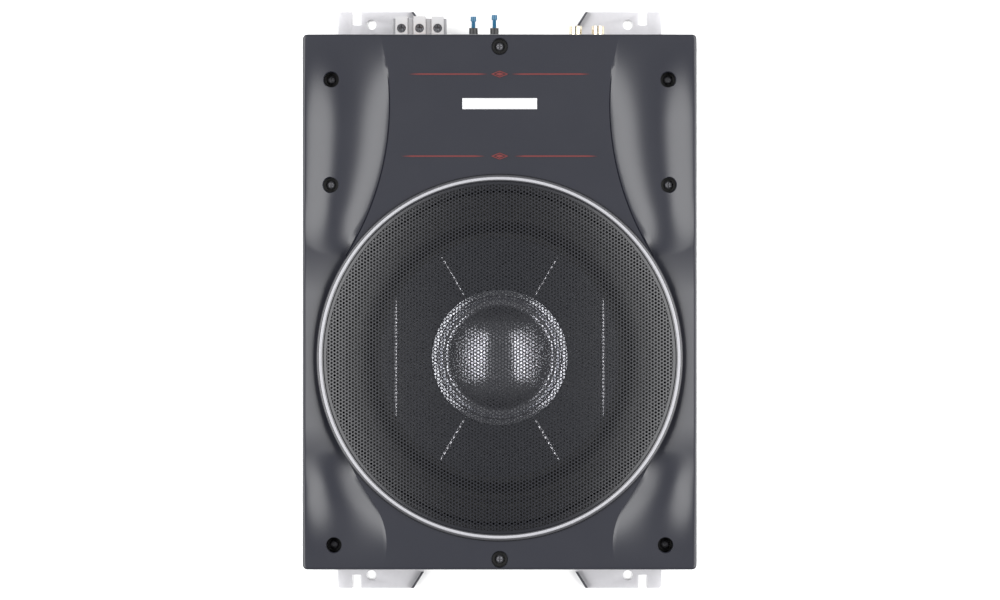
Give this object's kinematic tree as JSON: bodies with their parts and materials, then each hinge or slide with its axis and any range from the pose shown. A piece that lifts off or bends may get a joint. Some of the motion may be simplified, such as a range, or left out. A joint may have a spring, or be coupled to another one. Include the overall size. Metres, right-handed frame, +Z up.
{
  "type": "powered car subwoofer",
  "caption": "Slim under-seat powered subwoofer: cast cover with scooped sides, domed round grille in a trim ring, connector panel at one end and four steel floor brackets.",
  "frame": {"origin": "centre of the bounding box's bottom face, on the floor", "axes": "+Z up out of the grille, +Y towards the connector end, +X to the right seen from above with the connectors at the top"},
  "size_m": [0.248, 0.3686, 0.079],
  "materials": {
    "cast_paint": "satin black enamel on cast aluminium",
    "black_steel": "semi-gloss black powder coat",
    "zinc": "bright zinc plate",
    "black_screw": "black oxide",
    "grey_rim": "satin grey paint",
    "silver_band": "bright plated",
    "mesh_black": "satin black powder coat on perforated steel",
    "badge": "brushed",
    "red_enamel": "gloss red",
    "foam": "matte foam",
    "iron": "plain",
    "ferrite": "matte ceramic",
    "surround_rubber": "satin",
    "cone_metal": "satin silver",
    "former": "polyimide",
    "copper": "enamelled wire",
    "spider_cloth": "phenolic cloth",
    "phenolic": "matte",
    "wire_red": "satin PVC",
    "board_green": "solder mask",
    "nylon": "satin",
    "plain_alu": "mill finish",
    "black_plastic": "satin",
    "can_blue": "gloss sleeve",
    "grey_plastic": "satin",
    "nickel": "nickel plate",
    "blue_plastic": "satin",
    "gold": "gold plate",
    "fuse_orange": "gloss",
    "led_green": "gloss"
  },
  "bodies": {
    "cabinet": {"top_cover": "cast_paint", "bottom_tray": "black_steel", "cover_gasket": "foam", "cover_screws": "black_screw", "foot_bracket_1": "zinc", "foot_bracket_2": "zinc", "foot_bracket_3": "zinc", "foot_bracket_4": "zinc", "bracket_screws": "zinc", "trim_ring": "grey_rim", "trim_band": "silver_band", "grille_mesh": "mesh_black", "badge_plate": "badge", "pin_stripes": "red_enamel", "woofer_basket": "black_steel", "woofer_gasket": "foam", "basket_screws": "black_screw", "yoke": "iron", "magnet": "ferrite", "top_plate": "iron", "surround": "surround_rubber", "spider": "spider_cloth", "tinsel_leads": "copper", "woofer_terminals": "phenolic", "speaker_leads": "wire_red", "amplifier_board": "board_green", "board_standoffs": "nylon", "heat_sink_bar": "plain_alu", "power_transistors": "black_plastic", "filter_capacitors": "can_blue", "toroid_core": "ferrite", "toroid_winding": "copper", "connector_panel": "plain_alu", "terminal_housing": "grey_plastic", "terminal_contacts": "nickel", "gain_pot_body": "blue_plastic", "crossover_pot_body": "blue_plastic", "pot_bushes": "black_plastic", "rca_shells": "gold", "rca_housing": "black_plastic", "rca_contacts": "gold", "high_level_socket": "nylon", "fuse_holder": "black_plastic", "fuses": "fuse_orange", "power_led": "led_green", "phase_switch_body": "grey_plastic"},
    "cone_assembly": {"cone": "cone_metal", "dust_cap": "cone_metal", "voice_coil_former": "former", "voice_coil": "copper"},
    "gain_control": {"gain_shaft": "blue_plastic"},
    "crossover_control": {"crossover_shaft": "blue_plastic"},
    "phase_knob": {"phase_slider": "black_plastic"},
    "clamp_plate_1": {"pressure_plate_1": "nickel"},
    "clamp_screw_1": {"terminal_screw_1": "nickel"},
    "clamp_plate_2": {"pressure_plate_2": "nickel"},
    "clamp_screw_2": {"terminal_screw_2": "nickel"},
    "clamp_plate_3": {"pressure_plate_3": "nickel"},
    "clamp_screw_3": {"terminal_screw_3": "nickel"}
  },
  "joints": [
    {"name": "cone_travel", "type": "slide", "parent": "cabinet", "child": "cone_assembly", "axis": [0, 0, 1], "range_m": [-0.004, 0.004], "stiffness_N_per_m": 4000, "deforming": ["surround", "spider", "tinsel_leads"]},
    {"name": "gain_turn", "type": "hinge", "parent": "cabinet", "child": "gain_control", "pos_m": [-0.0167, 0.17, 0.024], "axis": [0, 1, 0], "range_deg": [-140, 140]},
    {"name": "crossover_turn", "type": "hinge", "parent": "cabinet", "child": "crossover_control", "pos_m": [-0.00335, 0.17, 0.024], "axis": [0, 1, 0], "range_deg": [-140, 140]},
    {"name": "phase_slide", "type": "slide", "parent": "cabinet", "child": "phase_knob", "axis": [1, 0, 0], "range_m": [0, 0.004]},
    {"name": "clamp_slide_1", "type": "slide", "parent": "cabinet", "child": "clamp_plate_1", "axis": [0, 0, -1], "range_m": [0, 0.0028]},
    {"name": "clamp_turn_1", "type": "hinge", "parent": "clamp_plate_1", "child": "clamp_screw_1", "pos_m": [-0.0624, 0.1726, 0.028], "axis": [0, 0, -1], "range_deg": [0, 1262]},
    {"name": "clamp_slide_2", "type": "slide", "parent": "cabinet", "child": "clamp_plate_2", "axis": [0, 0, -1], "range_m": [0, 0.0028]},
    {"name": "clamp_turn_2", "type": "hinge", "parent": "clamp_plate_2", "child": "clamp_screw_2", "pos_m": [-0.0509, 0.1726, 0.028], "axis": [0, 0, -1], "range_deg": [0, 1262]},
    {"name": "clamp_slide_3", "type": "slide", "parent": "cabinet", "child": "clamp_plate_3", "axis": [0, 0, -1], "range_m": [0, 0.0028]},
    {"name": "clamp_turn_3", "type": "hinge", "parent": "clamp_plate_3", "child": "clamp_screw_3", "pos_m": [-0.0394, 0.1726, 0.028], "axis": [0, 0, -1], "range_deg": [0, 1262]}
  ],
  "couplings": [
    {"joint": "clamp_turn_1", "follows": "clamp_slide_1", "rad_per_m": 7854},
    {"joint": "clamp_turn_2", "follows": "clamp_slide_2", "rad_per_m": 7854},
    {"joint": "clamp_turn_3", "follows": "clamp_slide_3", "rad_per_m": 7854}
  ]
}
